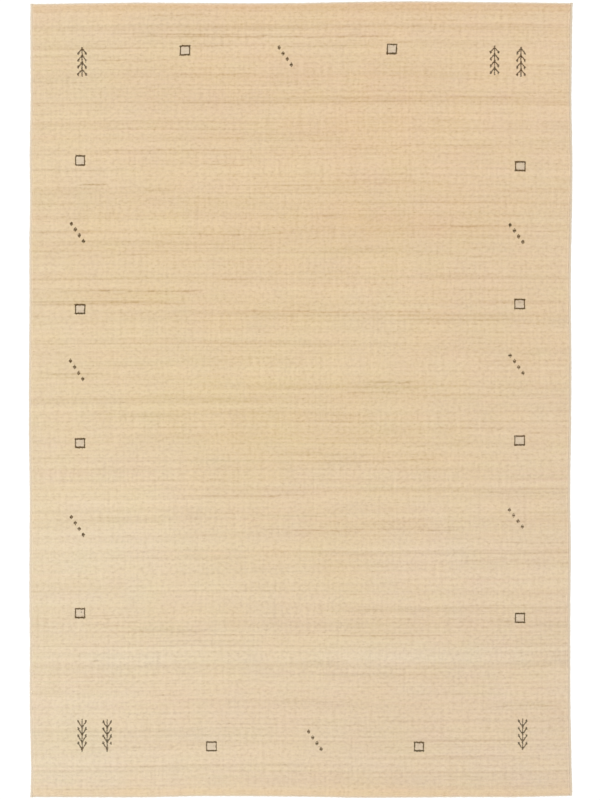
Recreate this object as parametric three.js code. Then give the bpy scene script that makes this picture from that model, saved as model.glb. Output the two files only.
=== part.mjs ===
// A hand-woven wool rug lying flat: a cut-pile field woven in one piece with a narrow flat-woven hem at each
// end, and a wool-wrapped selvage cord along each long side.
// Millimetres, +Z up, +X across the rug and +Y along it. The origin is on the floor, under the rug's middle.
import * as THREE from "three";

const RUG_WIDTH = 1600; // over both selvages, where the sides run true
const RUG_LENGTH = 2350; // over both hems, where the ends run true
const PILE_HEIGHT = 12; // floor to the sheared tips
const PILE_ROLL = 6; // how far in from its edge the pile leans out and rounds over
const SIDE_SHOULDER = 5; // height at which the pile's side wall starts to round over
const HEM_DEPTH = 6; // what shows of the flat-woven hem past the pile
const HEM_THICKNESS = 4;
const HEM_EDGE = 2; // height of the hem's outer edge, where its fold starts to round over
const HEM_ROUNDING = 1.5;
const SELVAGE_WIDTH = 7;
const SELVAGE_HEIGHT = 6;
const SELVAGE_WALL = 2; // upright part of the selvage's section, below its round top
const SEAM_GAP = 0.3; // between the field and a selvage
const FIELD_WIDTH = RUG_WIDTH - 2 * (SELVAGE_WIDTH + SEAM_GAP);

const LEVEL_COLUMNS = 10; // cells across the level part of the pile
const LEVEL_ROWS = 36; // cells along it
const ROLL_STEPS = 4; // cells over a rounded edge
const SELVAGE_COLUMNS = 6;

const WOOL_BEIGE = 0xe2c9a7;
const SELVAGE_BEIGE = 0xd9c6ad;

// How far each long side stands out from a true line, by the distance from the near end.
const SIDE_WAVER = [
  { along: 0, left: -1.0, right: 2.0 },
  { along: 25, left: -3.0, right: 4.0 },
  { along: 80, left: -4.0, right: 1.0 },
  { along: 170, left: -2.1, right: -0.9 },
  { along: 290, left: 0.5, right: -2.7 },
  { along: 440, left: 0.0, right: -2.9 },
  { along: 580, left: 1.1, right: -3.1 },
  { along: 730, left: 1.2, right: -1.2 },
  { along: 880, left: 0.1, right: -3.4 },
  { along: 1030, left: 2.4, right: -1.5 },
  { along: 1180, left: 2.8, right: 0.2 },
  { along: 1325, left: 2.3, right: 0.3 },
  { along: 1470, left: 1.1, right: -1.5 },
  { along: 1620, left: 1.7, right: -0.4 },
  { along: 1770, left: -0.5, right: 2.9 },
  { along: 1915, left: 0.5, right: 2.8 },
  { along: 2065, left: -2.1, right: 0.3 },
  { along: 2180, left: -1.7, right: 1.6 },
  { along: 2300, left: -1.4, right: 2.6 },
  { along: 2350, left: -1.6, right: 4.6 },
];

// How far each end stands out from a true line, by the distance from the left side.
const END_WAVER = [
  { across: 0, near: 0.0, far: -4.0 },
  { across: 30, near: 0.5, far: -3.6 },
  { across: 90, near: 1.3, far: -1.6 },
  { across: 210, near: 0.5, far: -1.3 },
  { across: 357, near: 1.0, far: 0.7 },
  { across: 505, near: -2.8, far: -1.0 },
  { across: 650, near: -2.3, far: -1.5 },
  { across: 800, near: -1.0, far: -0.8 },
  { across: 948, near: 2.2, far: 2.4 },
  { across: 1096, near: 2.1, far: 4.3 },
  { across: 1244, near: 0.5, far: 2.8 },
  { across: 1390, near: 0.7, far: 1.2 },
  { across: 1510, near: 0.1, far: 0.9 },
  { across: 1570, near: -1.1, far: -0.8 },
  { across: 1600, near: -4.8, far: -1.2 },
];

// A smooth curve through one column of a table, as a function of the table's place column.
function waver(table, place, column) {
  const curve = new THREE.CubicInterpolant(
    Float64Array.from(table, (row) => row[place]),
    Float64Array.from(table, (row) => row[column]),
    1,
  );
  return (at) => curve.evaluate(at)[0];
}

const leftOut = waver(SIDE_WAVER, "along", "left");
const rightOut = waver(SIDE_WAVER, "along", "right");
const nearOut = waver(END_WAVER, "across", "near");
const farOut = waver(END_WAVER, "across", "far");

// Where a point of the true rectangle lies on the real rug. across runs from the left side to the right, and
// along from the near end to the far one. Each side's waver fades out evenly towards the side opposite.
function onRug(across, along) {
  const share = across / RUG_WIDTH;
  const reach = along / RUG_LENGTH;
  const x = across - RUG_WIDTH / 2 - leftOut(along) * (1 - share) + rightOut(along) * share;
  const y = along - RUG_LENGTH / 2 - nearOut(across) * (1 - reach) + farOut(across) * reach;
  return [x, y];
}

// Rises from 0 to 1 along a quarter circle as distance goes from 0 to reach.
function roundOver(distance, reach) {
  const left = 1 - Math.min(distance / reach, 1);
  return Math.sqrt(1 - left * left);
}

// A quarter circle's own places for even steps of its angle, from 0 to reach.
function roundSteps(reach, steps) {
  return Array.from({ length: steps + 1 }, (_, i) => reach * (1 - Math.cos((i / steps) * (Math.PI / 2))));
}

// Even steps from one place to another, both left out.
function between(from, to, cells) {
  return Array.from({ length: cells - 1 }, (_, i) => from + ((to - from) * (i + 1)) / cells);
}

// Places from 0 to length: the given ones at the start, their mirror image at the end, even cells in between.
function mirrored(start, length, cells) {
  const end = start.map((place) => length - place).reverse();
  return [...start, ...between(start.at(-1), end[0], cells), ...end];
}

// A closed solid between a top and an underside, both given as functions of a column's and a row's place.
function slab(columns, rows, topOf, underOf) {
  const points = [];
  const faces = [];
  const top = (i, j) => j * columns.length + i;
  const under = (i, j) => top(i, j) + columns.length * rows.length;
  const quad = (a, b, c, d) => faces.push(a, b, c, a, c, d);

  for (const surface of [topOf, underOf])
    for (const row of rows)
      for (const column of columns) points.push(...surface(column, row));

  const lastColumn = columns.length - 1;
  const lastRow = rows.length - 1;
  for (let j = 0; j < lastRow; j++) {
    for (let i = 0; i < lastColumn; i++) {
      quad(top(i, j), top(i + 1, j), top(i + 1, j + 1), top(i, j + 1));
      quad(under(i, j), under(i, j + 1), under(i + 1, j + 1), under(i + 1, j));
    }
    quad(under(0, j + 1), under(0, j), top(0, j), top(0, j + 1));
    quad(under(lastColumn, j), under(lastColumn, j + 1), top(lastColumn, j + 1), top(lastColumn, j));
  }
  for (let i = 0; i < lastColumn; i++) {
    quad(under(i, 0), under(i + 1, 0), top(i + 1, 0), top(i, 0));
    quad(under(i + 1, lastRow), under(i, lastRow), top(i, lastRow), top(i + 1, lastRow));
  }

  const geometry = new THREE.BufferGeometry();
  geometry.setAttribute("position", new THREE.Float32BufferAttribute(points, 3));
  geometry.setIndex(faces);
  geometry.computeVertexNormals();
  return geometry;
}

// The rows of every piece, so that the pieces keep their gap along the whole seam.
function rugRows() {
  const hem = [0, HEM_ROUNDING / 2, HEM_ROUNDING];
  const rise = roundSteps(PILE_ROLL, ROLL_STEPS).map((place) => place + HEM_DEPTH);
  return mirrored([...hem, ...rise], RUG_LENGTH, LEVEL_ROWS);
}

// Height of the field's top face: level pile, rounded over at the sides, and a low hem past it at each end.
function fieldHeight(fromSide, fromEnd) {
  const pastHem = Math.max(fromEnd - HEM_DEPTH, 0);
  const side = SIDE_SHOULDER + (PILE_HEIGHT - SIDE_SHOULDER) * roundOver(fromSide, PILE_ROLL);
  const hem = HEM_EDGE + (HEM_THICKNESS - HEM_EDGE) * roundOver(fromEnd, HEM_ROUNDING);
  const end = hem + (PILE_HEIGHT - HEM_THICKNESS) * roundOver(pastHem, PILE_ROLL);
  return Math.min(side, end);
}

// The pile with its hems, woven as one cloth.
function pileField() {
  const inset = SELVAGE_WIDTH + SEAM_GAP;
  const columns = mirrored(roundSteps(PILE_ROLL, ROLL_STEPS), FIELD_WIDTH, LEVEL_COLUMNS);
  const topOf = (column, row) => {
    const fromSide = Math.min(column, FIELD_WIDTH - column);
    const fromEnd = Math.min(row, RUG_LENGTH - row);
    return [...onRug(inset + column, row), fieldHeight(fromSide, fromEnd)];
  };
  const underOf = (column, row) => [...onRug(inset + column, row), 0];
  return slab(columns, rugRows(), topOf, underOf);
}

// A selvage cord: flat below and round above, from one end of the rug to the other.
function selvage(start) {
  const columns = Array.from({ length: SELVAGE_COLUMNS + 1 }, (_, i) => i / SELVAGE_COLUMNS);
  const place = (column, row) => onRug(start + column * SELVAGE_WIDTH, row);
  const topOf = (column, row) => {
    const fromRim = SELVAGE_WIDTH * Math.min(column, 1 - column);
    const height = SELVAGE_WALL + (SELVAGE_HEIGHT - SELVAGE_WALL) * roundOver(fromRim, SELVAGE_WIDTH / 2);
    return [...place(column, row), height];
  };
  const underOf = (column, row) => [...place(column, row), 0];
  return slab(columns, rugRows(), topOf, underOf);
}

function piece(name, geometry, color) {
  const material = new THREE.MeshStandardMaterial({ color, roughness: 0.95, metalness: 0 });
  const mesh = new THREE.Mesh(geometry, material);
  mesh.name = name;
  return mesh;
}

const rug = new THREE.Group();
rug.add(piece("pile_field", pileField(), WOOL_BEIGE));
rug.add(piece("selvage_left", selvage(0), SELVAGE_BEIGE));
rug.add(piece("selvage_right", selvage(RUG_WIDTH - SELVAGE_WIDTH), SELVAGE_BEIGE));

// The uneven outline is centred over the origin by its outermost points.
const middle = new THREE.Box3().setFromObject(rug).getCenter(new THREE.Vector3());
rug.position.set(-middle.x, -middle.y, 0);

export default rug;
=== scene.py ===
"""A hand-knotted wool rug lying flat.

Its sheared beige pile has small dark motifs set round the border. Wool-wrapped selvages run down both
sides, and a narrow flat-woven hem shows past the pile at each end. Lengths are in metres, in the rug's
own frame: +X across it, +Y along it and +Z up through the pile.
"""

import math

import bpy
import numpy as np
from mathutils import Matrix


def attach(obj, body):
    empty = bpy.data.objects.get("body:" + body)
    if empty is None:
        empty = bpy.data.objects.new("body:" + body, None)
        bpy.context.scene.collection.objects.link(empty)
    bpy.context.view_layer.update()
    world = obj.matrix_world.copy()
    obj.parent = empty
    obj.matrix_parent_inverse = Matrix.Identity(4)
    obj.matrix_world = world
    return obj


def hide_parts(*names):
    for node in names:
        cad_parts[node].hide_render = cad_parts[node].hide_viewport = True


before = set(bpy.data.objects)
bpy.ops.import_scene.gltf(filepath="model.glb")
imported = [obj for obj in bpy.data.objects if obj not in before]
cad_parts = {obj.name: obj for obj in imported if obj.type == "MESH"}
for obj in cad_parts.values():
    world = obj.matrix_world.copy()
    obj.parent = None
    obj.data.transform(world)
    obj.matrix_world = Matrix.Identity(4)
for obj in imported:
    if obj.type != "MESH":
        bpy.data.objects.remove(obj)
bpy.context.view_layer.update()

MM = 0.001

# The weave
KNOT = 2.956 * MM  # pitch of the knots, across the rug and along it
RUG_WIDTH = 1600 * MM
RUG_LENGTH = 2350 * MM
HEM_DEPTH = 6 * MM
SELVAGE_WIDTH = 7 * MM
SEAM_GAP = 0.3 * MM
FIELD_WIDTH = RUG_WIDTH - 2 * (SELVAGE_WIDTH + SEAM_GAP)
PILE_LENGTH = RUG_LENGTH - 2 * HEM_DEPTH
ROWS = round(PILE_LENGTH / KNOT)

# The pile's section at its edges
PILE_TOP = 11.7 * MM
PILE_SHOULDER = 6.5 * MM  # height at which the side of the pile starts to round over
PILE_ROLL = 5.5 * MM  # how far in from its edge it rounds over
BODY_INSET = 1.0 * MM  # how far the body of the pile stays behind the tufts of its edge

# One shade is this change of the wool's linear colour. Warmth turns it from ivory to straw, and rose from
# green to pink.
WOOL = (0.688, 0.526, 0.341)
SHADE = (0.0605, 0.0600, 0.0490)
WARMTH = (0.0035, 0.0030, -0.0190)
ROSE = (0.0068, -0.0060, 0.0)
DARK_WOOL = (0.090, 0.050, 0.012)
FADED_WOOL = (0.200, 0.162, 0.122)
DARK_HUE = (0.018, -0.001, -0.006)  # from olive to russet
NEAR_END_HUE = (0.014, 0.014, 0.010)  # what the motifs gain at the near end
SELVAGE_WOOL = (0.705, 0.605, 0.465)
HEM_WOOL = (0.76, 0.66, 0.515)

# Runs of darker yarn that catch the eye: where each lies from the rug's middle, in millimetres, and its
# depth in shades.
DARK_RUNS = [
    {"y": 1079, "from": -572, "to": -161, "depth": 2.0},
    {"y": 1002, "from": -619, "to": -362, "depth": 1.4},
    {"y": 961, "from": -379, "to": -122, "depth": 1.2},
    {"y": 736, "from": -607, "to": -184, "depth": 1.3},
    {"y": 636, "from": -651, "to": -566, "depth": 2.8},
    {"y": 618, "from": -468, "to": -373, "depth": 1.7},
    {"y": 511, "from": 448, "to": 649, "depth": 0.8},
    {"y": 494, "from": -781, "to": -699, "depth": 0.5},
    {"y": 488, "from": -436, "to": -31, "depth": 1.9},
    {"y": 322, "from": -722, "to": -285, "depth": 2.3},
    {"y": 284, "from": -767, "to": -350, "depth": 1.5},
    {"y": 260, "from": -217, "to": 389, "depth": 1.5},
    {"y": 236, "from": 280, "to": 643, "depth": 1.2},
    {"y": 77, "from": -776, "to": -569, "depth": 2.2},
    {"y": 50, "from": 167, "to": 342, "depth": 2.3},
    {"y": 21, "from": 123, "to": 295, "depth": 1.7},
    {"y": -50, "from": -539, "to": -329, "depth": 1.3},
    {"y": -86, "from": 377, "to": 620, "depth": 1.0},
    {"y": -183, "from": 46, "to": 295, "depth": 0.7},
    {"y": -284, "from": -359, "to": 43, "depth": 1.3},
    {"y": -384, "from": -116, "to": 496, "depth": 1.6},
    {"y": -638, "from": -696, "to": -524, "depth": 1.3},
    {"y": -905, "from": 555, "to": 765, "depth": 1.8},
]

FAINT_RUNS = 560  # how many more there are that hardly show

# Soft patches where the yarn comes from another lot: their middles and half sizes in millimetres, and how
# far they change the wool.
YARN_LOTS = [
    {"x": 265, "y": 766, "wide": 266, "tall": 148, "shade": 0.0, "warmth": 0.35, "rose": 0.95},
    {"x": 235, "y": 523, "wide": 355, "tall": 47, "shade": -0.3, "warmth": 0.6, "rose": 1.2},
    {"x": -504, "y": 514, "wide": 355, "tall": 65, "shade": 0.15, "warmth": 0.55, "rose": 0.2},
    {"x": -208, "y": 426, "wide": 591, "tall": 30, "shade": 0.0, "warmth": 0.25, "rose": -0.05},
    {"x": -533, "y": 299, "wide": 355, "tall": 35, "shade": -0.3, "warmth": 0.75, "rose": 0.15},
    {"x": -90, "y": 251, "wide": 443, "tall": 30, "shade": -0.2, "warmth": 0.15, "rose": -0.1},
    {"x": -681, "y": 145, "wide": 177, "tall": 89, "shade": -0.05, "warmth": 0.3, "rose": 0.1},
    {"x": 235, "y": 204, "wide": 133, "tall": 103, "shade": 0.2, "warmth": -0.15, "rose": -0.45},
    {"x": 561, "y": 189, "wide": 133, "tall": 133, "shade": -0.1, "warmth": 0.0, "rose": 0.0},
    {"x": 620, "y": 692, "wide": 148, "tall": 41, "shade": -0.05, "warmth": -0.1, "rose": -0.35},
    {"x": 708, "y": 500, "wide": 118, "tall": 74, "shade": 0.15, "warmth": -0.15, "rose": -0.45},
    {"x": -178, "y": 27, "wide": 384, "tall": 133, "shade": -0.15, "warmth": 0.9, "rose": -0.4},
    {"x": 88, "y": -121, "wide": 325, "tall": 59, "shade": -0.3, "warmth": 0.75, "rose": 0.2},
    {"x": -563, "y": -432, "wide": 266, "tall": 148, "shade": 0.4, "warmth": -0.65, "rose": -1.05},
    {"x": -193, "y": -225, "wide": 103, "tall": 74, "shade": -0.25, "warmth": 0.45, "rose": 0.05},
    {"x": 132, "y": -476, "wide": 89, "tall": 74, "shade": -0.25, "warmth": 0.5, "rose": -0.15},
    {"x": 472, "y": -476, "wide": 296, "tall": 133, "shade": 0.25, "warmth": -0.65, "rose": -0.4},
    {"x": -490, "y": -765, "wide": 260, "tall": 34, "shade": 0.45, "warmth": -0.75, "rose": -1.1},
    {"x": 324, "y": -757, "wide": 443, "tall": 30, "shade": 0.45, "warmth": -1.05, "rose": -1.7},
    {"x": 0, "y": -905, "wide": 887, "tall": 41, "shade": -0.2, "warmth": -0.25, "rose": 0.55},
    {"x": 160, "y": -1135, "wide": 560, "tall": 34, "shade": -0.35, "warmth": 0.3, "rose": 0.3},
    {"x": -622, "y": 1002, "wide": 177, "tall": 133, "shade": 0.05, "warmth": -0.15, "rose": -1.05},
    {"x": -149, "y": 1061, "wide": 591, "tall": 35, "shade": 0.2, "warmth": -0.2, "rose": -0.75},
    {"x": -356, "y": 854, "wide": 296, "tall": 35, "shade": -0.3, "warmth": -0.4, "rose": -0.1},
    {"x": -681, "y": -1008, "wide": 177, "tall": 74, "shade": 0.0, "warmth": 0.15, "rose": -1.05},
]

# The motifs, in millimetres from the rug's middle. A square is measured between the middles of its lines.
# Bold is how thick the knots of one are against the others'.
SQUARES = [
    {"x": -342, "y": 1031, "width": 27.5, "height": 26.5, "lean": 0, "bold": 1.05},
    {"x": 269, "y": 1035, "width": 26.9, "height": 26.0, "lean": 1.5, "bold": 1.15},
    {"x": -652, "y": 706, "width": 26.3, "height": 26.9, "lean": 0, "bold": 1.00},
    {"x": -652, "y": 267, "width": 27.2, "height": 25.2, "lean": 0, "bold": 1.06},
    {"x": -652, "y": -129, "width": 26.6, "height": 24.8, "lean": 0, "bold": 1.08},
    {"x": -652, "y": -631, "width": 26.9, "height": 26.2, "lean": 0, "bold": 1.00},
    {"x": 648, "y": 689, "width": 27.9, "height": 25.4, "lean": 0, "bold": 1.04},
    {"x": 646, "y": 282, "width": 28.4, "height": 26.6, "lean": 0, "bold": 0.95},
    {"x": 646, "y": -121, "width": 28.4, "height": 25.9, "lean": 0, "bold": 0.93},
    {"x": 647, "y": -645, "width": 26.6, "height": 25.9, "lean": 0, "bold": 0.94},
    {"x": -264, "y": -1024, "width": 28.1, "height": 25.6, "lean": 0, "bold": 0.94},
    {"x": 349, "y": -1025, "width": 26.2, "height": 24.6, "lean": 0, "bold": 1.05},
]

# Each slanting line of four lozenges, by its first lozenge and the step to the next.
LOZENGE_LINES = [
    {"x": -64, "y": 1039, "step_x": 11.9, "step_y": -16.8, "bold": 1.00},
    {"x": -678, "y": 519, "step_x": 12.0, "step_y": -17.0, "bold": 1.22},
    {"x": -680, "y": 114, "step_x": 12.0, "step_y": -17.6, "bold": 1.10},
    {"x": -678, "y": -347, "step_x": 11.8, "step_y": -17.5, "bold": 1.02},
    {"x": 618, "y": 515, "step_x": 12.6, "step_y": -16.5, "bold": 1.08},
    {"x": 618, "y": 130, "step_x": 12.8, "step_y": -17.3, "bold": 0.97},
    {"x": 616, "y": -326, "step_x": 12.7, "step_y": -16.5, "bold": 0.86},
    {"x": 23, "y": -981, "step_x": 12.3, "step_y": -17.2, "bold": 1.00},
]
LOZENGES = 4

# Each tree, by its tip, the way its trunk runs from there, how far down the first crown is, the pitch of
# the boughs and how far a bough drops. One has lost an arm of its first bough, on the side given.
TREES = [
    {"x": -646, "tip": 1040, "way": -1, "crown": 5.7, "pitch": 20.4, "drop": 12.6, "lost": 0, "bold": 1.07},
    {"x": 572, "tip": 1041, "way": -1, "crown": 3.2, "pitch": 20.1, "drop": 12.2, "lost": 0, "bold": 1.04},
    {"x": 650, "tip": 1041, "way": -1, "crown": 5.7, "pitch": 21.0, "drop": 12.8, "lost": 0, "bold": 1.07},
    {"x": -646, "tip": -1039, "way": 1, "crown": 8.3, "pitch": 21.5, "drop": 15.9, "lost": 0, "bold": 1.00},
    {"x": -572, "tip": -1039, "way": 1, "crown": 9.3, "pitch": 21.0, "drop": 14.8, "lost": 1, "bold": 1.02},
    {"x": 655, "tip": -1036, "way": 1, "crown": 6.2, "pitch": 22.0, "drop": 14.8, "lost": 0, "bold": 0.94},
]
BOUGHS = 4
BOUGH_REACH = 11.2 * MM

# Single dark knots by themselves.
STRAY_KNOTS = [{"x": -648, "y": -628, "size": 1.0, "fade": 0.6}]

# How large the knots are in each part of a motif, and how far they are covered by pale ones
BAR = {"size": 1.75, "fade": 0.0}
POST = {"size": 1.2, "fade": 0.12}
CROWN = {"size": 1.8, "fade": 0.22}
ARM = {"size": 1.15, "fade": 0.3}
FOOT = {"size": 2.0, "fade": 0.3}
TIP = {"size": 1.05, "fade": 0.3}
TRUNK = {"size": 1.05, "fade": 0.45}


def smooth(share):
    """A smooth step: three squares less two cubes of the share, held between 0 and 1."""
    share = np.clip(share, 0, 1)
    return share * share * (3 - 2 * share)


def blend(low, high, share):
    """Goes straight from low to high as the share goes from 0 to 1."""
    return low + (high - low) * share


def cloud(seed, x, y):
    """Smooth noise from -1 to 1: a random number at each whole place, blended between four."""
    x = x - x.min()
    y = y - y.min()
    i = x.astype(int)
    j = y.astype(int)
    corner = np.random.default_rng(seed).uniform(-1, 1, (j.max() + 2, i.max() + 2))
    low = blend(corner[j, i], corner[j, i + 1], smooth(x - i))
    high = blend(corner[j + 1, i], corner[j + 1, i + 1], smooth(x - i))
    return blend(low, high, smooth(y - j))


def drift(seed, place):
    """Smooth noise from -1 to 1 along one line of places."""
    return cloud(seed, place, np.zeros((1, 1)))


def along_rows(seed, across):
    """Smooth noise for each row by itself, from random numbers one cell apart.

    across has a row of places for each row of knots, counted in cells. Each row starts at random.
    """
    rng = np.random.default_rng(seed)
    place = across + rng.uniform(0, 1, (len(across), 1))
    place = place - place.min()
    i = place.astype(int)
    corner = rng.normal(0, 1, (len(across), i.max() + 2))
    before = np.take_along_axis(corner, i, 1)
    after = np.take_along_axis(corner, i + 1, 1)
    return blend(before, after, smooth(place - i))


def corners_of(node):
    """A CAD node's merged points and its triangles as rows of three point numbers."""
    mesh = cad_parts[node].data
    mesh.calc_loop_triangles()
    points = np.empty(len(mesh.vertices) * 3)
    mesh.vertices.foreach_get("co", points)
    triangles = np.empty(len(mesh.loop_triangles) * 3, int)
    mesh.loop_triangles.foreach_get("vertices", triangles)
    merged, number = np.unique(points.reshape(-1, 3).round(6), axis=0, return_inverse=True)
    return merged, number.reshape(-1)[triangles].reshape(-1, 3)


def border_of(node):
    """The two end points of each edge round a node's underside, clockwise from above.

    An edge is on the border if no triangle of the underside has it the other way round.
    """
    points, triangles = corners_of(node)
    under = triangles[(points[triangles][:, :, 2] < 1e-5).all(axis=1)]
    edges = np.concatenate([under[:, [0, 1]], under[:, [1, 2]], under[:, [2, 0]]])
    forth = edges[:, 0] * len(points) + edges[:, 1]
    back = edges[:, 1] * len(points) + edges[:, 0]
    return points[edges[~np.isin(forth, back)]][:, :, :2]


def line_through(edges, axis):
    """Edge points in order along an axis: each one's share of the way, and its other place."""
    points = np.unique(edges.reshape(-1, 2).round(6), axis=0)
    points = points[np.argsort(points[:, axis])]
    low, high = points[0, axis], points[-1, axis]
    return (points[:, axis] - low) / (high - low), points[:, 1 - axis]


def cloth_on(node):
    """Gives place(u, v): where the share u across a node and v along it lies on its real, uneven outline.

    x is mixed from the two sides at v, by u. y is mixed from the two ends at u, by v. The way that an
    edge of the border runs tells which side or end it is on.
    """
    edges = border_of(node)
    run_x, run_y = (edges[:, 1] - edges[:, 0]).T
    on_side = np.abs(run_y) > np.abs(run_x)
    left = line_through(edges[on_side & (run_y > 0)], 1)
    right = line_through(edges[on_side & (run_y < 0)], 1)
    far = line_through(edges[~on_side & (run_x > 0)], 0)
    near = line_through(edges[~on_side & (run_x < 0)], 0)

    def place(u, v):
        x = blend(np.interp(v, *left), np.interp(v, *right), u)
        y = blend(np.interp(u, *near), np.interp(u, *far), v)
        return x, y

    return place


def mesh_piece(name, points, faces, material, knots=None, **values):
    """A mesh object from points and arrays of faces, in which each face is a row of point numbers.

    knots, if given, is a UV map in knots or threads, and values are numbers. Both have a row for each
    point.
    """
    corners = np.concatenate([rows.ravel() for rows in faces])
    sizes = np.concatenate([np.full(len(rows), rows.shape[1]) for rows in faces])
    mesh = bpy.data.meshes.new(name)
    mesh.vertices.add(len(points))
    mesh.vertices.foreach_set("co", np.asarray(points, np.float32).ravel())
    mesh.loops.add(len(corners))
    mesh.loops.foreach_set("vertex_index", corners.astype(np.int32))
    mesh.polygons.add(len(sizes))
    mesh.polygons.foreach_set("loop_start", (np.cumsum(sizes) - sizes).astype(np.int32))
    mesh.update(calc_edges=True)
    mesh.validate()
    if knots is not None:
        layer = mesh.uv_layers.new(name="knots")
        layer.data.foreach_set("uv", np.asarray(knots, np.float32)[corners].ravel())
    for key, numbers in values.items():
        attribute = mesh.attributes.new(key, "FLOAT", "POINT")
        attribute.data.foreach_set("value", np.asarray(numbers, np.float32).ravel())
    mesh.materials.append(material)
    mesh.shade_smooth()
    piece = bpy.data.objects.new(name, mesh)
    bpy.context.collection.objects.link(piece)
    return piece


def numbered(start, rows, columns):
    """A grid of point numbers, counted row by row from start."""
    return start + np.arange(rows * columns).reshape(rows, columns)


def quads(number):
    """Four-sided faces between neighbours of a grid of point numbers."""
    corners = [number[:-1, :-1], number[:-1, 1:], number[1:, 1:], number[1:, :-1]]
    return np.stack(corners, axis=-1).reshape(-1, 4)


def wall(first, second):
    """Four-sided faces between two equal lines, facing left of them when the second is below."""
    return quads(np.column_stack([first, second]))


def pairs(first, second):
    """Rows of one number from each of two grids, which are first stretched to the same shape."""
    return np.stack(np.broadcast_arrays(first, second), axis=-1).reshape(-1, 2)


# The pile field's grid
SIDE_STEPS = np.array([0, 0.5, 1.4, 2.7, 4.4, 6.8]) * MM  # close columns at each side
END_STEPS = np.array([0, 0.9, 2.6]) * MM  # close rows at each end
LEVEL_CELLS = 78  # even cells across
UNDER_CELLS = 12  # cells across the underside
SQUARE_COLUMNS = [-650, -343, -265, 268, 350, 648]  # where squares stand, in millimetres from the middle
SQUARE_STEPS = np.array([-15, -10.5, 10.5, 15]) * MM  # the columns just in and out of their sides


def places_from_edges(length, steps, cells):
    """Places from 0 to length: close together at each edge, as the steps say, and even in between."""
    level = np.linspace(steps[-1], length - steps[-1], cells + 1)
    return np.concatenate([steps[:-1], level, length - steps[-2::-1]])


def places_across():
    """The field's columns: close together at its sides and on the lines of squares, and even elsewhere.

    The even columns nearest to the squares' own are left out, as many as it takes to fill whole cells of
    the underside.
    """
    even = BODY_INSET + places_from_edges(FIELD_WIDTH - 2 * BODY_INSET, SIDE_STEPS, LEVEL_CELLS)
    middle = np.array(SQUARE_COLUMNS) * MM + FIELD_WIDTH / 2
    own = (middle[:, None] + SQUARE_STEPS).ravel()
    nearness = np.abs(even[:, None] - own).min(axis=1)
    spare = (len(even) + len(own) - 1) % UNDER_CELLS
    even = np.sort(even[np.argsort(nearness)[spare:]])
    return np.sort(np.concatenate([even, own]))


ACROSS = places_across()
PILE_START = HEM_DEPTH + BODY_INSET
ALONG = PILE_START + places_from_edges(RUG_LENGTH - 2 * PILE_START, END_STEPS, ROWS - 2)
field_place = cloth_on("pile_field")
FIELD_X, FIELD_Y = field_place(ACROSS[None, :] / FIELD_WIDTH, ALONG[:, None] / RUG_LENGTH)

RUN_STRENGTH = 1.45  # of the table's depths
RUN_BLEED = 0.2  # how much of a run shows in each row beside it
RUN_WANDER = 0.6 * KNOT


def dark_runs():
    """How deep the darker yarn is at each point of the field, in shades.

    Each run keeps to the one row of knots that is nearest to its line, which wanders by a row or so, and
    shows a little in the rows beside it. It comes and goes along its length. Faint runs are drawn at
    random among those of the table.
    """
    rng = np.random.default_rng(41)
    faint = [
        {"y": y, "from": x, "to": x + length, "depth": depth}
        for y, x, length, depth in zip(
            rng.uniform(-1150, 1150, FAINT_RUNS),
            rng.uniform(-900, 700, FAINT_RUNS),
            rng.gamma(2.2, 90, FAINT_RUNS),  # lengths, in millimetres
            rng.gamma(1.8, 0.23, FAINT_RUNS),  # depths, in shades
        )
    ]
    depth = np.zeros_like(FIELD_X)
    for number, run in enumerate(DARK_RUNS + faint):
        low, high = run["from"] * MM, run["to"] * MM
        columns = np.flatnonzero((FIELD_X[0] > low - 30 * MM) & (FIELD_X[0] < high + 30 * MM))
        rows = np.flatnonzero(np.abs(FIELD_Y[:, 0] - run["y"] * MM) < 14 * MM)
        if not len(columns) or not len(rows):
            continue
        part = np.ix_(rows, columns)
        x, y = FIELD_X[part], FIELD_Y[part]
        wander = RUN_WANDER * drift(1000 + number, x[:1] / 0.14)
        broken = 0.85 + 0.35 * drift(3000 + number, x[:1] / 0.034)
        reach = np.clip(0.3 * (high - low), 18 * MM, 90 * MM)
        fade = smooth((x - low) / reach + 0.3) * smooth((high - x) / reach + 0.3)
        away = np.abs(y - run["y"] * MM - wander) / KNOT
        row = np.where(away < 0.5, 1.0, np.where(away < 1.5, RUN_BLEED, 0.0))
        depth[part] += run["depth"] * RUN_STRENGTH * broken * fade * row
    return depth


RUN_DEPTH = dark_runs()

SQUARE_INSIDE = 12 * MM  # from a square's middle to the last column of its ground
SQUARE_GROUND = {"shade": -0.55, "warmth": -2.2, "rose": -2.3}  # its wool is greyer


def square_grounds():
    """1 where the field lies inside a square, and 0 elsewhere."""
    inside = np.zeros_like(FIELD_X)
    for mark in SQUARES:
        middle = min(SQUARE_COLUMNS, key=lambda place: abs(place - mark["x"])) * MM
        right_way = np.abs(ACROSS - FIELD_WIDTH / 2 - middle) < SQUARE_INSIDE
        deep = mark["height"] / 2 * MM - np.abs(FIELD_Y - mark["y"] * MM)
        far_way = smooth(deep / (3 * MM) + 0.5)
        inside = np.maximum(inside, right_way * far_way)
    return inside


def yarn_lots(quality):
    """The soft patches' changes to one quality of the wool, each a bell across and along the rug."""
    total = np.zeros_like(FIELD_X)
    for lot in YARN_LOTS:
        across = (FIELD_X - lot["x"] * MM) / (lot["wide"] * MM)
        along = (FIELD_Y - lot["y"] * MM) / (lot["tall"] * MM)
        total += lot[quality] * np.exp(-(across**2) - along**2)
    return total


def band(middle, half):
    """A bell along the rug: 1 on its middle line, fading over the half width, in millimetres."""
    return np.exp(-(((FIELD_Y / MM - middle) / half) ** 2))


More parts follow.
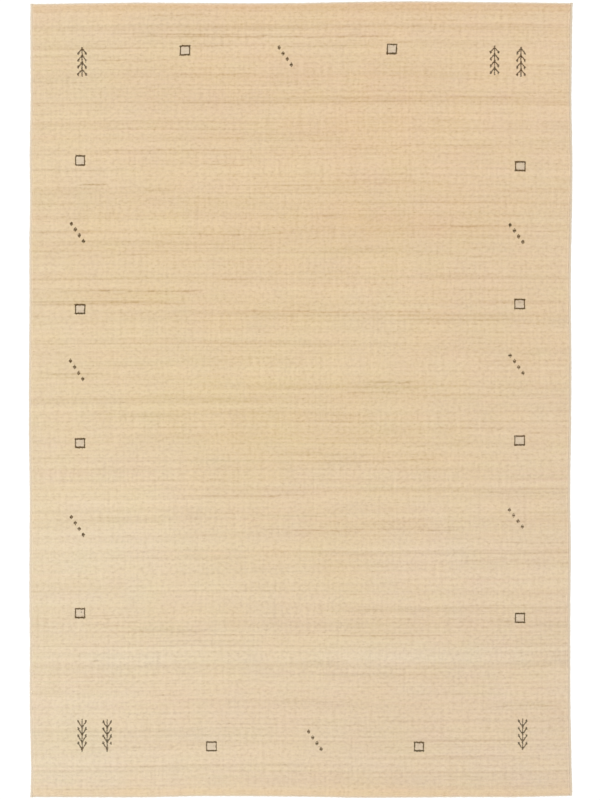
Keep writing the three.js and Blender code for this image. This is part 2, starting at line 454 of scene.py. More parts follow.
ROW_TONE = 0.33  # strength of the rows' own tones, in shades
ROW_SKEW = 0.32  # how much further they go to dark than to pale
ROW_BLEED = 0.13  # how much of a row's tone shows in each row beside it


def dye():
    """The wool's shade, warmth and rose at each point of the field.

    Each is a broad surface of the second degree over the rug, with the patches of the yarn lots and fine
    mottles. The shade also has the tone of each row of yarn, and a darker band. Both ends are warmer and
    rosier, and the far end is darker, most of all on the right.
    """
    right = FIELD_X / (RUG_WIDTH / 2)
    far = FIELD_Y / (RUG_LENGTH / 2)
    ground = square_grounds()
    far_end = band(1165, 21)
    near_end = band(-1163, 16)

    yarn = along_rows(9, FIELD_X / 0.42) + 0.8 * np.random.default_rng(10).normal(0, 1, (len(ALONG), 1))
    yarn[1:-1] = ROW_BLEED * (yarn[:-2] + yarn[2:]) + (1 - 2 * ROW_BLEED) * yarn[1:-1]
    yarn = (1 - np.exp(-ROW_SKEW * yarn)) / ROW_SKEW
    # The broad shade's fall towards the right is painted shade, from how the light falls on the pile.
    shade = -0.35 * right - 0.19 * far + 0.22 * right * far + 0.20 * right**2 + 0.13 * far**2
    shade = shade + yarn_lots("shade") + ROW_TONE * yarn
    shade = shade + 0.09 * cloud(7, FIELD_X / 0.06, FIELD_Y / 0.04) - 0.24 * band(480, 130)
    shade = shade - far_end * (0.5 + 0.5 * smooth(0.7 + 1.5 * right))

    warmth = 0.85 + 1.05 * far - 0.59 * right**2 - 0.56 * far**2
    warmth = warmth + yarn_lots("warmth") + 0.45 * cloud(11, FIELD_X / 0.06, FIELD_Y / 0.045)
    warmth = warmth + 0.18 * along_rows(12, FIELD_X / 0.24) + 0.9 * far_end + 2.0 * near_end

    rose = 0.86 + 0.38 * right + 1.50 * far - 0.58 * right**2 + 0.09 * far**2
    rose = rose + yarn_lots("rose") + 0.7 * cloud(13, FIELD_X / 0.05, FIELD_Y / 0.045)
    rose = rose + 0.50 * along_rows(14, FIELD_X / 0.24) + 2.0 * far_end + 2.2 * near_end
    return {
        "shade": shade + SQUARE_GROUND["shade"] * ground,
        "warmth": blend(warmth, SQUARE_GROUND["warmth"], ground),
        "rose": blend(rose, SQUARE_GROUND["rose"], ground),
    }


FIELD_DYE = dye()
FIELD_DYE["dark_run"] = RUN_DEPTH


def rounded_edge(distance):
    """Height of the pile at a distance from its edge: a wall to the shoulder, then a quarter circle."""
    left = 1 - np.clip(distance / PILE_ROLL, 0, 1)
    return PILE_SHOULDER + (PILE_TOP - PILE_SHOULDER) * np.sqrt(1 - left * left)


RUN_SINK = 0.22  # how far the pile is sunk for each shade of a dark run, in millimetres


def field_heights():
    """The sheared top: rounded at its edges, uneven from row to row, and sunk along the dark runs."""
    from_side = np.minimum(ACROSS, ACROSS[-1] - ACROSS)[None, :]
    from_end = np.minimum(ALONG - ALONG[0], ALONG[-1] - ALONG)[:, None]
    height = np.minimum(rounded_edge(from_side), rounded_edge(from_end))
    shearing = 0.30 * cloud(21, FIELD_X / 0.16, FIELD_Y / 0.11)
    shearing = shearing + 0.16 * cloud(22, FIELD_X / 0.05, FIELD_Y / 0.012)
    rows = 0.13 * along_rows(23, FIELD_X / 0.12)
    return height + (shearing + rows - RUN_SINK * RUN_DEPTH) * MM


FIELD_HEIGHT = field_heights()


def pile_field(material):
    """The pile as one closed cloth.

    Its top has a row of points for each row of knots. Its flat underside has the same rows and fewer
    columns, so its first and last rows of faces have many corners on the outer side and two on the inner.
    """
    rows, columns = FIELD_X.shape
    share = columns // UNDER_CELLS
    surface = np.stack([FIELD_X, FIELD_Y, FIELD_HEIGHT], axis=-1)
    level = surface * (1, 1, 0)
    inner_level = level[1:-1, ::share].reshape(-1, 3)
    points = np.concatenate([surface.reshape(-1, 3), level[0], level[-1], inner_level])

    top = numbered(0, rows, columns)
    near, far = numbered(top.size, 2, columns)
    inner = numbered(top.size + 2 * columns, rows - 2, UNDER_CELLS + 1)
    left = np.concatenate([near[:1], inner[:, 0], far[:1]])
    right = np.concatenate([near[-1:], inner[:, -1], far[-1:]])
    spans = np.arange(UNDER_CELLS)[:, None] * share + np.arange(share + 1)
    faces = [
        quads(top),
        quads(inner)[:, ::-1],
        np.hstack([near[spans][:, ::-1], inner[0, :-1, None], inner[0, 1:, None]]),
        np.hstack([far[spans], inner[-1, 1:, None], inner[-1, :-1, None]]),
        wall(left, top[:, 0]),
        wall(top[:, -1], right),
        wall(top[0], near),
        wall(far, top[-1]),
    ]
    everywhere = np.concatenate([top.ravel(), top[0], top[-1], top[1:-1, ::share].ravel()])
    knots = pairs(ACROSS / KNOT, (ALONG / KNOT)[:, None])[everywhere]
    wool = {name: values.ravel()[everywhere] for name, values in FIELD_DYE.items()}
    return mesh_piece("pile_field_knotted", points, faces, material, knots, **wool)


def cell_of(places, at):
    """The cell of a rising list that each place falls in, and how far through that cell it is."""
    i = np.clip(np.searchsorted(places, at, side="right") - 1, 0, len(places) - 2)
    return i, np.clip((at - places[i]) / (places[i + 1] - places[i]), 0, 1)


def read_off(grid, across, along):
    """A value of the field's grid at any place on it, mixed from the four points round that place."""
    i, s = cell_of(ACROSS, across)
    j, t = cell_of(ALONG, along)
    low = blend(grid[j, i], grid[j, i + 1], s)
    high = blend(grid[j + 1, i], grid[j + 1, i + 1], s)
    return blend(low, high, t)


def field_locate(x, y):
    """The places across and along of points well inside the field, where its waver is small."""
    middle_x, middle_y = field_place(0.5, 0.5)
    return x - middle_x + FIELD_WIDTH / 2, y - middle_y + RUG_LENGTH / 2


def tuft_shape(sides, rings):
    """A unit tuft: rings of points at (height, radius), with a point on top and a flat face below."""
    angle = np.arange(sides) * 2 * math.pi / sides
    circle = np.stack([np.cos(angle), np.sin(angle), np.zeros(sides)], axis=-1)
    points = [circle * (radius, radius, 0) + (0, 0, height) for height, radius in rings]
    tip = (0, 0, rings[-1][0] + 0.06)
    points = np.concatenate([*points, [tip]])
    ring = np.arange(sides)
    after = (ring + 1) % sides
    bands = [
        np.stack([ring, after, after + sides, ring + sides], axis=-1) + level * sides
        for level in range(len(rings) - 1)
    ]
    last = (len(rings) - 1) * sides
    cap = np.stack([ring + last, after + last, np.full(sides, len(points) - 1)], axis=-1)
    return points, [np.concatenate(bands), cap, ring[::-1][None, :]]


def tufts(shape, roots, radii, heights, leans, seed):
    """Copies of a unit tuft, set on their roots and turned at random, with uneven corners.

    Each has its own radius and height, and bends by its lean times the square of its share of the height.
    """
    unit, faces = shape
    rng = np.random.default_rng(seed)
    turn = rng.uniform(0, 2 * math.pi, (len(roots), 1))
    ragged = radii[:, None] * rng.normal(1, 0.12, (len(roots), len(unit)))
    x = (unit[:, 0] * np.cos(turn) - unit[:, 1] * np.sin(turn)) * ragged
    y = (unit[:, 0] * np.sin(turn) + unit[:, 1] * np.cos(turn)) * ragged
    bend = unit[:, 2] ** 2
    x = x + leans[:, :1] * bend
    y = y + leans[:, 1:] * bend
    points = roots[:, None] + np.stack([x, y, unit[:, 2] * heights[:, None]], axis=-1)
    offsets = (np.arange(len(roots)) * len(unit))[:, None, None]
    return points.reshape(-1, 3), [(part + offsets).reshape(-1, part.shape[1]) for part in faces]


# The edge of the pile in section, from its foot over its top and down into the body. Each point has its
# place in from the edge, its height and how deep the grooves between tufts are there, in millimetres,
# and then its share of the painted light that lightens the edge's wool where its steep side is in shade.
RIM_SECTION = [
    (0.7, 1.2, 0.3, 1.3),
    (-0.2, 4.0, 0.8, 1.3),
    (-0.8, 7.0, 1.0, 1.0),
    (-0.9, 9.2, 1.0, 1.0),
    (0.0, 10.9, 0.9, 0.8),
    (1.7, 11.7, 0.6, 0.4),
    (3.7, 11.8, 0.35, 0.3),
    (5.4, 11.5, 0.2, 0.3),
    (7.0, 10.4, 0.0, 0.3),
]
RIM_CORNER = 4.0 * MM  # radius of the pile's corners, seen from above
TUFT_STEPS = 4  # points along each tuft
# Painted light on the pile's edge, at a share of 1: lighter, less warm wool where its side is in shade.
RIM_PAINTED_LIGHT = {"shade": 1.9, "warmth": -1.2, "rose": 0.0, "dark_run": 0.0}  # for a lift of 1


def rim_path(count):
    """Evenly spaced places round the pile's edge, anticlockwise, and the way outwards at each.

    They go round a rectangle. Each is then drawn to the corner radius from the nearest place of a smaller
    one.
    """
    low = np.array([0, HEM_DEPTH])
    size = np.array([FIELD_WIDTH, PILE_LENGTH])
    turns = np.cumsum([0, *size, *size])
    reached = np.arange(count) / count * turns[-1]
    across = np.interp(reached, turns, [0, FIELD_WIDTH, FIELD_WIDTH, 0, 0])
    along = np.interp(reached, turns, [0, 0, PILE_LENGTH, PILE_LENGTH, 0])
    place = low + np.stack([across, along], axis=-1)
    kept = np.clip(place, low + RIM_CORNER, low + size - RIM_CORNER)
    out = (place - kept) / np.linalg.norm(place - kept, axis=1, keepdims=True)
    return kept + RIM_CORNER * out, out


def pile_rim(material):
    """The tufts at the pile's edge, seen from their long sides, as one closed ring round the field.

    The section is carried round the edge. Along its own outward direction it swells by the root of a half
    sine over each tuft, with a little chance in it, and smooth noise leans the tufts to either side and
    in or out.
    """
    tufts_round = round(2 * (FIELD_WIDTH + PILE_LENGTH) / KNOT)
    count = tufts_round * TUFT_STEPS
    path, out = rim_path(count)
    inset, height, groove, lift = np.array(RIM_SECTION).T
    inset, height, groove = inset * MM, height * MM, groove * MM
    slope_in, slope_up = np.gradient(inset), np.gradient(height)
    steep = np.hypot(slope_in, slope_up)

    tuft = np.arange(count)[:, None] / TUFT_STEPS
    rng = np.random.default_rng(51)
    chance = rng.normal(1, 0.22, (tufts_round, len(RIM_SECTION)))[tuft[:, 0].astype(int)]
    swell = groove * (np.sqrt(np.abs(np.sin(math.pi * tuft))) * chance - 0.6)
    reach = (height / PILE_TOP) ** 2 * MM
    away = 0.30 * drift(52, tuft) + 0.35 * drift(53, tuft / 5)
    aside = 0.55 * drift(54, tuft * 0.7) + 0.4 * drift(55, tuft / 4)
    outward = swell * slope_up / steep + away * reach - inset
    z = height + swell * slope_in / steep

    middle = np.array([FIELD_WIDTH, RUG_LENGTH]) / 2
    half = np.array([FIELD_WIDTH, PILE_LENGTH]) / 2
    from_middle = (path - middle) / half
    across = path[:, :1] + from_middle[:, :1] * outward - out[:, 1:] * aside * reach
    along = path[:, 1:] + from_middle[:, 1:] * outward + out[:, :1] * aside * reach
    x, y = field_place(across / FIELD_WIDTH, along / RUG_LENGTH)

    points = np.stack([x, y, z], axis=-1).reshape(-1, 3)
    ring = np.pad(numbered(0, count, len(RIM_SECTION)), ((0, 1), (0, 1)), "wrap")
    faces = quads(ring.T)
    knots = pairs(tuft, np.cumsum(steep) / KNOT)
    # Painted light is added by each section point's share, lightening the shaded side of the edge.
    wool = {name: read_off(FIELD_DYE[name], across, along) + RIM_PAINTED_LIGHT[name] * lift for name in FIELD_DYE}
    return mesh_piece("pile_rim", points, [faces], material, knots, **wool)


def line_of_knots(start, end, kind):
    """Knots one pitch apart on a straight line, as rows of (x, y, size, fade)."""
    start, end = np.array(start), np.array(end)
    count = max(2, round(np.linalg.norm(end - start) / KNOT) + 1)
    share = np.linspace(0, 1, count)[:, None]
    return np.hstack([blend(start, end, share), np.full((count, 2), (kind["size"], kind["fade"]))])


def square(width, height, lean):
    """An open square: full dark knots along its two bars, and thinner, paler ones up its sides."""
    half = np.array([width, height]) / 2
    lean = np.array([lean / 2, 0])
    low_left, low_right = half * (-1, -1) - lean, half * (1, -1) - lean
    high_left, high_right = half * (-1, 1) + lean, half * (1, 1) + lean
    lines = [
        line_of_knots(low_left, low_right, BAR),
        line_of_knots(high_left, high_right, BAR),
        line_of_knots(low_left, high_left, POST)[1:-1],
        line_of_knots(low_right, high_right, POST)[1:-1],
    ]
    return np.concatenate(lines)


# A lozenge's knots: how far across and along from its middle each is, in knots, and its size.
LOZENGE = [
    (0, 1.55, 1.05),
    (-0.95, 0.5, 1.1),
    (0.95, 0.5, 1.1),
    (-0.95, -0.5, 1.1),
    (0.95, -0.5, 1.1),
    (0, 0, 0.7),
    (0, 0, 1.4),
    (0, -1.55, 1.05),
]


def lozenge():
    """One small lozenge of eight knots, two of them in its middle."""
    return np.array([[across * KNOT, along * KNOT, size, 0.0] for across, along, size in LOZENGE])


def tree(way, lost, first, pitch, drop):
    """A tree from its tip: a pale trunk, and boughs of a dark crown and two arms with a foot each."""
    parts = []
    if first > 2.5 * KNOT:
        parts.append(line_of_knots((0, 0), (0, first - 1.5 * KNOT), TIP))
    for bough in range(BOUGHS):
        crown = first + bough * pitch
        foot = crown + drop
        parts.append(line_of_knots((0, crown - 1.2 * KNOT), (0, crown + 0.8 * KNOT), CROWN))
        for side in (-1, 1):
            reach = side * BOUGH_REACH
            if bough > 0 or side != lost:
                start = (side * 0.8 * KNOT, crown + 0.3 * KNOT)
                parts.append(line_of_knots(start, (reach * 0.92, foot - 0.8 * KNOT), ARM))
            parts.append(line_of_knots((reach, foot - 0.4 * KNOT), (reach, foot + 0.6 * KNOT), FOOT))
        trunk_end = foot + 1.8 * KNOT if bough == BOUGHS - 1 else crown + pitch - 1.8 * KNOT
        parts.append(line_of_knots((0, crown + 1.5 * KNOT), (0, trunk_end), TRUNK))
    knots = np.concatenate(parts)
    knots[:, 1] *= way
    return knots


def charted_knots():
    """Every dark knot of the rug, as rows of (x, y, size, fade)."""
    motifs = []

    def add(x, y, bold, knots):
        motifs.append(knots * (1, 1, bold, 1) + (x * MM, y * MM, 0, 0))

    for mark in SQUARES:
        lengths = [mark[key] * MM for key in ("width", "height", "lean")]
        add(mark["x"], mark["y"], mark["bold"], square(*lengths))
    for line in LOZENGE_LINES:
        for number in range(LOZENGES):
            x = line["x"] + number * line["step_x"]
            y = line["y"] + number * line["step_y"]
            add(x, y, line["bold"], lozenge())
    for mark in TREES:
        lengths = [mark[key] * MM for key in ("crown", "pitch", "drop")]
        add(mark["x"], mark["tip"], mark["bold"], tree(mark["way"], mark["lost"], *lengths))
    for mark in STRAY_KNOTS:
        add(mark["x"], mark["y"], 1, np.array([[0, 0, mark["size"], mark["fade"]]]))
    return np.concatenate(motifs)


DARK_END = tuft_shape(5, [(0, 0.8), (0.7, 1.0), (0.93, 0.72)])
ENDS = 5  # cut ends of yarn in each knot
END_TURN = 2.4  # from one end to the next, in radians
END_RADIUS = 0.40 * KNOT
END_SPREAD = 0.44 * KNOT  # how far the outer ends stand from the middle of their knot
DARK_END_ROOT = -1.7 * MM  # against the top of the pale pile
DARK_END_HEIGHT = 2.1 * MM


def motif_knots(material):
    """The dark knots of the motifs: cut ends of yarn in a spiral about each middle, hardly proud."""
    rng = np.random.default_rng(61)
    knots = charted_knots()
    knots[:, :2] += rng.normal(0, 0.20 * MM, (len(knots), 2))
    number = np.tile(np.arange(ENDS), len(knots))
    knots = np.repeat(knots, ENDS, axis=0)
    size = knots[:, 2]
    count = len(knots)
    angle = END_TURN * number + np.repeat(rng.uniform(0, 2 * math.pi, count // ENDS), ENDS)
    spread = END_SPREAD * size * np.sqrt((number + 0.3) / (ENDS - 0.7))
    x = knots[:, 0] + spread * np.cos(angle) + rng.normal(0, 0.12 * MM, count)
    y = knots[:, 1] + spread * np.sin(angle) + rng.normal(0, 0.12 * MM, count)
    top = read_off(FIELD_HEIGHT, *field_locate(x, y))
    roots = np.column_stack([x, y, top + DARK_END_ROOT])
    radii = END_RADIUS * np.sqrt(size) * rng.normal(1, 0.10, count)
    heights = rng.normal(DARK_END_HEIGHT, 0.16 * MM, count)
    points, faces = tufts(DARK_END, roots, radii, heights, rng.normal(0, 0.25 * MM, (count, 2)), 62)
    fade = np.clip(knots[:, 3] + rng.normal(0, 0.12, count), 0, 1)
    return mesh_piece("motif_knots", points, faces, material, fade=np.repeat(fade, len(DARK_END[0])))


WRAP_PITCH = 3.1 * MM
WRAP_STEPS = 4  # points along each wrap
WRAP_SLANT = 1.2  # how many wraps a strand moves on as it crosses the cord
SELVAGE_WALL = 2.0 * MM
SELVAGE_TOP = 6.0 * MM
ARC_POINTS = 10
FULLNESS = 0.7  # below 1, the arch is fuller than a sine


def selvage(side, material):
    """A cord wrapped in plied yarn: flat below, an arch above, swollen along each slanting strand.

    The swelling is the root of a half sine of the place along the cord, moved on evenly from one foot of
    the arch to the other.
    """
    place = cloth_on("selvage_" + side)
    wraps = round(RUG_LENGTH / WRAP_PITCH)
    along = np.linspace(0, 1, wraps * WRAP_STEPS + 1)[:, None]
    angle = np.linspace(0, math.pi, ARC_POINTS)[None, :]
    turns = along * wraps + WRAP_SLANT * angle / math.pi
    rng = np.random.default_rng(71 if side == "left" else 72)
    fat = rng.normal(1, 0.10, wraps + 4)[turns.astype(int)]
    swell = np.sqrt(np.abs(np.sin(math.pi * turns))) * fat
    outwards = -1 if side == "left" else 1
    ragged = 0.06 * drift(73, along * wraps * 0.8) + 0.05 * drift(74, along * wraps / 5)
    outer = 0.53 + 0.07 * swell + ragged
    inner = 0.52 + 0.02 * swell
    sideways = -np.cos(angle)
    u = 0.5 + sideways * np.where(sideways * outwards > 0, outer, inner)
    x, y = place(u, along)
    z = SELVAGE_WALL + (SELVAGE_TOP - SELVAGE_WALL) * np.sin(angle) ** FULLNESS * (0.80 + 0.20 * swell)
    feet = ((0, 0), (1, 1))
    x, y, turns, over = [np.pad(values, feet, "edge") for values in (x, y, turns, angle / math.pi)]
    points = np.stack([x, y, np.pad(z, feet)], axis=-1).reshape(-1, 3)
    number = numbered(0, *x.shape)
    faces = [quads(np.pad(number, ((0, 0), (0, 1)), "wrap")), number[:1, ::-1], number[-1:]]
    return mesh_piece("selvage_wrapped_" + side, points, faces, material, pairs(over, turns))


WARP_PITCH = 3.0 * MM
WARP_STEPS = 4  # points across each warp of the hem
HEM_TOP = 3.6 * MM
HEM_LIP = 1.6 * MM  # height of its outer edge
HEM_ROLL = 2.2 * MM  # how far in from its outer edge it rounds over
HEM_RIDGE = 0.32 * MM  # how far the weft goes up and down
HEM_RAGGED = 0.55 * MM  # how far its outer edge goes in and out
HEM_FIRM = 3 * MM  # how far in it has stopped doing so
HEM_PLACES = np.array([0, 0.35, 0.9, 1.7, 2.5, 3.3, 4.1, 4.9, 5.7, 6.5, 8.0]) * MM
HEM_WEFT = 1.6 * MM


def hem(end, material):
    """The flat-woven hem past the pile: weft yarn over and under the warps, rounded at its fold.

    Its height is a cosine across the warps, turned over from one pick of weft to the next.
    """
    warps = round(FIELD_WIDTH / WARP_PITCH)
    u = np.linspace(0, 1, warps * WARP_STEPS + 1)[None, :]
    out = HEM_PLACES[:, None]
    fold = np.sqrt(1 - (1 - np.clip(out / HEM_ROLL, 0, 1)) ** 2)
    weave = np.cos(math.pi * (u * warps + np.floor(out / HEM_WEFT)))
    z = HEM_LIP + (HEM_TOP - HEM_LIP + HEM_RIDGE * weave) * fold
    along = out if end == "near" else RUG_LENGTH - out
    ragged = HEM_RAGGED * drift(81 if end == "near" else 82, u * 300)
    x, y = field_place(u, along / RUG_LENGTH)
    y = y + ragged * (1 - np.clip(out / HEM_FIRM, 0, 1))
    rows, columns = z.shape
    surface = np.stack([x, y, z], axis=-1)
    points = np.concatenate([surface, surface[[0, -1]] * (1, 1, 0)]).reshape(-1, 3)
    number = numbered(0, rows + 2, columns)
    top, under = number[:rows], number[rows:]
    faces = [
        quads(top),
        wall(top[0], under[0]),
        wall(under[1], top[-1]),
        wall(under[0], under[1]),
        np.append(top[:, 0], under[::-1, 0])[None, :],
        np.append(top[:, -1], under[::-1, -1])[None, ::-1],
    ]
    if end == "far":
        faces = [part[:, ::-1] for part in faces]
    threads = pairs(u * warps, out / HEM_WEFT)
    threads = np.concatenate([threads, threads[:columns], threads[-columns:]])
    # The weave's height, from which the hem's wool paints shade where the weft dips.
    lift = np.concatenate([(weave * fold).ravel(), np.zeros(2 * columns)])
    return mesh_piece("hem_woven_" + end, points, faces, material, threads, lift=lift)


class Wire:
    """An output of a shader node. A sign between wires and numbers adds the Math node for it."""

    def __init__(self, recipe, socket):
        self.recipe = recipe
        self.socket = socket

    def __add__(self, other):
        return self.recipe.math("ADD", self, other)

    def __sub__(self, other):
        return self.recipe.math("SUBTRACT", self, other)

    def __rsub__(self, other):
        return self.recipe.math("SUBTRACT", other, self)

    def __mul__(self, other):
        return self.recipe.math("MULTIPLY", self, other)

    __radd__ = __add__
    __rmul__ = __mul__


class Recipe:
    """A material and the nodes that it is mixed from."""

    def __init__(self, name):
        self.material = bpy.data.materials.new(name)
        self.material.use_nodes = True
        self.tree = self.material.node_tree
        self.tree.nodes.clear()
        self.place = self.node("TexCoord", output="Object")

    def node(self, kind, settings=None, inputs=None, output=0):
        """Adds a node: its settings first, then the number, colour or wire of each socket."""
        made = self.tree.nodes.new("ShaderNode" + kind)
        for key, value in (settings or {}).items():
            setattr(made, key, value)
        for key, value in (inputs or {}).items():
            if isinstance(value, Wire):
                self.tree.links.new(value.socket, made.inputs[key])
            else:
                made.inputs[key].default_value = value
        return Wire(self, made.outputs[output])

    def math(self, operation, first, second):
        return self.node("Math", {"operation": operation}, {0: first, 1: second})

    def tint(self, base, step, amount):
        """The colour base plus step times an amount that may be below 0."""
        return self.node("VectorMath", {"operation": "MULTIPLY_ADD"}, {0: step, 1: amount, 2: base})

    def mixed(self, low, high, share):
        """A colour from low to high as the share goes from 0 to 1."""
        return self.node("Mix", {"data_type": "RGBA"}, {0: share, 6: low, 7: high}, 2)

    def rise(self, value, low, high):
        """Goes from 0 to 1 in a smooth step as the value goes from low to high."""
        settings = {"interpolation_type": "SMOOTHSTEP"}
        return self.node("MapRange", settings, {"Value": value, "From Min": low, "From Max": high})

    def attribute(self, name):
        return self.node("Attribute", {"attribute_name": name}, output="Fac")

    def stretched(self, place, across, along):
        """The place times one factor across and another along."""
        return self.node("VectorMath", {"operation": "MULTIPLY"}, {0: place, 1: (across, along, 1)})

    def noise(self, place, scale, detail):
        return self.node("TexNoise", None, {"Vector": place, "Scale": scale, "Detail": detail})

    def wool(self, color, height, depth, sheen):
        """Ends the material as matt wool fibre, with a soft sheen and a raised surface of that depth."""
        bump = self.node("Bump", None, {"Strength": 1.0, "Distance": depth, "Height": height})
        sockets = {
            "Base Color": color,
            "Roughness": 0.95,
            "Specular IOR Level": 0.15,
            "Sheen Weight": sheen,
            "Sheen Roughness": 0.55,
            "Sheen Tint": (1.0, 0.95, 0.88, 1.0),
            "Normal": bump,
        }
        surface = self.node("BsdfPrincipled", None, sockets)
        output = self.tree.nodes.new("ShaderNodeOutputMaterial")
        self.tree.links.new(surface.socket, output.inputs["Surface"])
        return self.material


# The scale of a noise is in cells for each metre on r.place, and for each knot or thread elsewhere.


def pile_wool():
    """Sheared knots of undyed wool: soft tips side by side, darker clumps, and fine fibre all over.

    The dark runs show most in the clumps, and short dark flecks are strewn about. The gaps between
    the tips get painted shade.
    """
    r = Recipe("pile_wool")
    knots = r.node("UVMap", {"uv_map": "knots"})
    sway = r.node("TexNoise", None, {"Vector": r.place, "Scale": 230.0, "Detail": 1.0}, "Color")
    sway = r.node("VectorMath", {"operation": "MULTIPLY_ADD"}, {0: sway, 1: (1.2, 1.2, 0), 2: knots})
    tips = {"voronoi_dimensions": "2D", "feature": "SMOOTH_F1"}
    sockets = {"Vector": sway, "Scale": 1.45, "Smoothness": 0.3, "Randomness": 0.85}
    away = r.node("TexVoronoi", tips, sockets, "Distance")
    fibre = r.noise(r.place, 1300.0, 3.0) - 0.5
    clump = r.rise(r.noise(r.stretched(sway, 0.24, 0.36), 1.0, 1.8), 0.38, 0.86)
    dash = r.noise(r.stretched(sway, 0.46, 0.85), 1.0, 1.0) - 0.5
    warp = r.noise(r.stretched(knots, 0.45, 0.02), 1.0, 0.0) - 0.5
    fleck = r.rise(r.noise(r.stretched(sway, 0.2, 0.8), 1.0, 0.0), 0.73, 0.83)
    run = r.attribute("dark_run") * (0.8 + 0.5 * clump + 0.9 * dash) + fleck * 1.5
    shade = r.attribute("shade") + 2.07 - clump * 1.6 + dash * 1.45 + warp * 0.8
    # away darkens the gaps between the tips: painted shade.
    shade = shade - away * 1.6 + fibre * 1.5 - run
    color = r.tint(WOOL, SHADE, shade)
    straw = r.noise(r.stretched(knots, 0.27, 0.33), 1.0, 1.0) - 0.5
    color = r.tint(color, WARMTH, r.attribute("warmth") + straw * 2.2)
    color = r.tint(color, ROSE, r.attribute("rose"))
    height = fibre * 0.5 - away * 1.3 - clump * 0.3
    return r.wool(color, height, 0.9 * MM, 0.12)


def dark_wool():
    """Dark brown wool, paler towards the near end and where pale neighbours half cover a knot."""
    r = Recipe("dark_wool")
    fibre = r.noise(r.place, 1700.0, 2.0)
    share = r.attribute("fade") + (fibre - 0.5) * 0.5
    color = r.mixed((*DARK_WOOL, 1), (*FADED_WOOL, 1), share)
    hue = r.noise(r.place, 40.0, 0.0) - 0.5
    near_end = 1 - r.rise(r.node("SeparateXYZ", None, {"Vector": r.place}, "Y"), -0.95, -0.5)
    color = r.tint(color, DARK_HUE, hue * 1.8 - near_end * 0.4)
    return r.wool(r.tint(color, NEAR_END_HUE, near_end), fibre, 0.4 * MM, 0.05)


def selvage_wool():
    """Plied yarn over the edge, with painted shade on the right. Each turn has its own tone and fibre."""
    r = Recipe("selvage_wool")
    strand = r.node("UVMap", {"uv_map": "knots"})
    ply = r.node("Mapping", None, {"Vector": strand, "Rotation": (0, 0, 0.6), "Scale": (2.5, 1.5, 1)})
    ply = r.node("TexWave", {"bands_direction": "Y"}, {"Vector": ply, "Scale": 0.5, "Distortion": 1})
    turn = r.node("Mapping", None, {"Vector": strand, "Scale": (0.3, 1.1, 1.0)})
    turn = r.noise(turn, 1.0, 1.0)
    fibre = r.noise(r.place, 1300.0, 2.0)
    # Painted shade on the right-hand cord, as if the light came from the left.
    painted_shade_right = r.rise(r.node("SeparateXYZ", None, {"Vector": r.place}, "X"), -0.1, 0.1)
    shade = (turn - 0.5) * 2.2 + (fibre - 0.5) * 1.6 + (ply - 0.5) * 0.6 - painted_shade_right * 0.7
    return r.wool(r.tint(SELVAGE_WOOL, SHADE, shade), ply * 0.3 + fibre * 0.7, 0.25 * MM, 0.1)


def hem_wool():
    """The hem's weft: paler yarn, with painted shade where a thread dips under a warp and between picks."""
    r = Recipe("hem_wool")
    threads = r.node("UVMap", {"uv_map": "knots"})
    pick = r.node("TexWave", {"bands_direction": "Y"}, {"Vector": threads, "Scale": math.pi / 10})
    fibre = r.noise(r.place, 1500.0, 2.0) - 0.5
    patch = r.noise(r.place, 120.0, 2.0) - 0.5
    dip = 1 - r.attribute("lift")
    # Painted shade in the dips under the warps and in the gaps between the picks.
    shade = patch * 2.0 + fibre * 1.6 - dip * 0.45 - pick * 0.9 + 0.7
    return r.wool(r.tint(HEM_WOOL, SHADE, shade), fibre - pick * 0.5 - dip * 0.3, 0.5 * MM, 0.1)


def plain_floor():
    """A matt floor, paler than the rug."""
    material = bpy.data.materials.new("floor_paint")
    material.use_nodes = True
    surface = material.node_tree.nodes["Principled BSDF"]
    surface.inputs["Base Color"].default_value = (0.93, 0.93, 0.93, 1)
    surface.inputs["Roughness"].default_value = 0.9
    return material


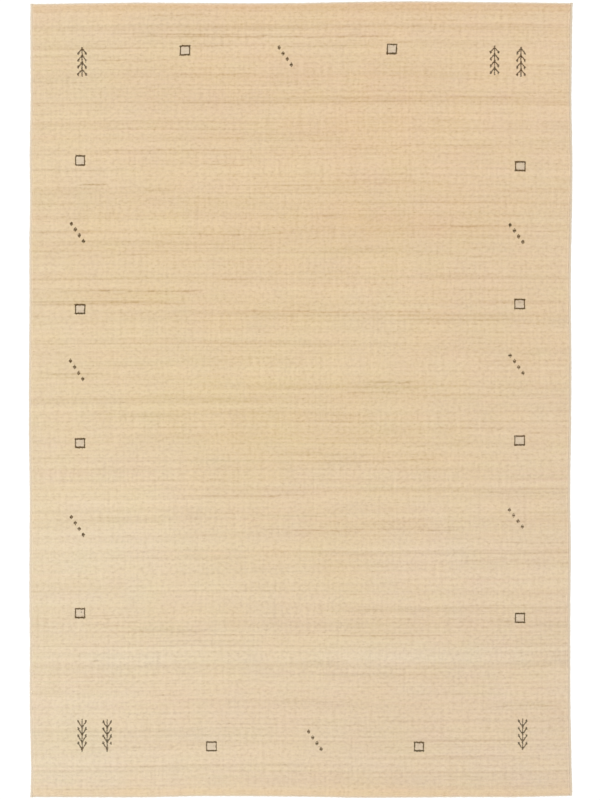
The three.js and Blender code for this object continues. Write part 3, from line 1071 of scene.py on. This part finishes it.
# The camera looks straight down. The photograph's frame is 600 by 800 points, and the rug's middle lies a
# little to the right of the frame's.
POINT = 2.956 * MM  # what one of them covers on the floor
FRAME_HEIGHT = 800
LENS = 85.0
SENSOR = 36.0
AIM = (-0.85 * POINT, -0.5 * POINT)


def camera():
    """A long lens over the rug."""
    data = bpy.data.cameras.new("camera")
    data.lens = LENS
    data.sensor_width = SENSOR
    eye = bpy.data.objects.new("camera", data)
    distance = LENS / SENSOR * FRAME_HEIGHT * POINT
    eye.location = (*AIM, distance + SELVAGE_TOP)
    data.clip_end = 100.0
    bpy.context.collection.objects.link(eye)
    bpy.context.scene.camera = eye


FLOOR_SIZE = 40.0
SURROUND = 0.45  # strength of the even white surround
OVERHEAD = 2.17  # strength of the light from above
SUN_SPREAD = 22  # its softness, in degrees
SUN_TILT = (-4, -5, 0)  # also in degrees


def studio():
    """A pale floor to the horizon, an even white surround and one broad soft light from above."""
    corner = FLOOR_SIZE / 2
    points = corner * np.array([(-1, -1, 0), (1, -1, 0), (1, 1, 0), (-1, 1, 0)])
    floor = mesh_piece("floor", points, [np.array([[0, 1, 2, 3]])], plain_floor())
    world = bpy.data.worlds.new("surround")
    world.use_nodes = True
    sky = world.node_tree.nodes["Background"].inputs
    sky["Color"].default_value = (1, 1, 1, 1)
    sky["Strength"].default_value = SURROUND
    bpy.context.scene.world = world
    data = bpy.data.lights.new("soft_light", "SUN")
    data.angle = math.radians(SUN_SPREAD)
    data.energy = OVERHEAD
    lamp = bpy.data.objects.new("soft_light", data)
    lamp.rotation_euler = [math.radians(turn) for turn in SUN_TILT]
    bpy.context.collection.objects.link(lamp)
    bpy.context.scene.view_settings.view_transform = "Standard"


def rug():
    """All the rug's pieces, set on its frame."""
    beige = pile_wool()
    wrapping = selvage_wool()
    weft = hem_wool()
    field = pile_field(beige)
    trims = {
        pile_rim(beige): "pile_wool",
        motif_knots(dark_wool()): "pile_wool",
        hem("near", weft): "selvage_wool",
        hem("far", weft): "selvage_wool",
    }
    for side in ("left", "right"):
        cord = selvage(side, wrapping)
        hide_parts("selvage_" + side)
        trims[cord] = "selvage_wool"
    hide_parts("pile_field")
    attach(field, "root")
    for piece, slot in trims.items():
        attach(piece, "root")


camera()
studio()
rug()
